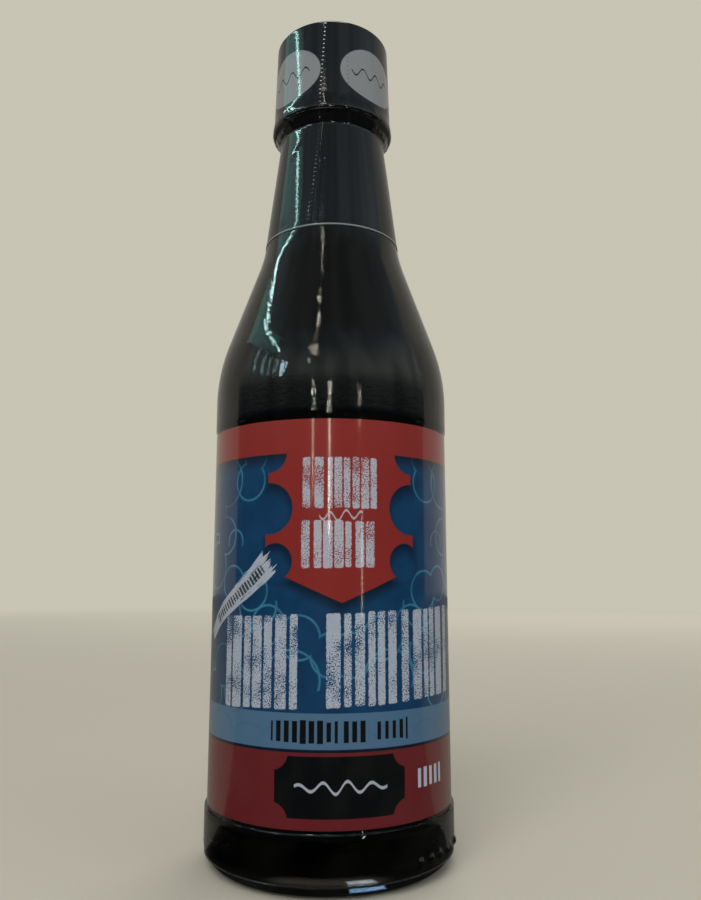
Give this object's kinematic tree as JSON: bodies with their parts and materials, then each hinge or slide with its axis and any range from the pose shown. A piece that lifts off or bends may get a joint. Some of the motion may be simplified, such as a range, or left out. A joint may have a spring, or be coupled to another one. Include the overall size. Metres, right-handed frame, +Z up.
{
  "type": "soy sauce bottle",
  "caption": "Full 250 ml glass sauce bottle with a wrap-round printed label, a long tapered neck and a screw cap sealed under a black shrink sleeve.",
  "frame": {"origin": "centre of the base ring's plane, on the table", "axes": "+Z up the bottle's axis to the cap, -Y towards the label's front"},
  "size_m": [0.057, 0.057, 0.2015],
  "materials": {
    "bottle_glass": "clear moulded glass, near black with the sauce behind it",
    "dark_sauce": "dark brown sauce, black in bulk",
    "cap_plastic": "moulded black plastic",
    "shrink_film": "glossy black shrink film with fine creases, perforations and plain pale ovals",
    "printed_film": "glossy printed label: blue field, dark red bands, worn pale shapes"
  },
  "bodies": {
    "root": {"bottle": "bottle_glass", "sauce": "dark_sauce", "cap": "cap_plastic", "sleeve": "shrink_film", "label": "printed_film"}
  },
  "joints": []
}
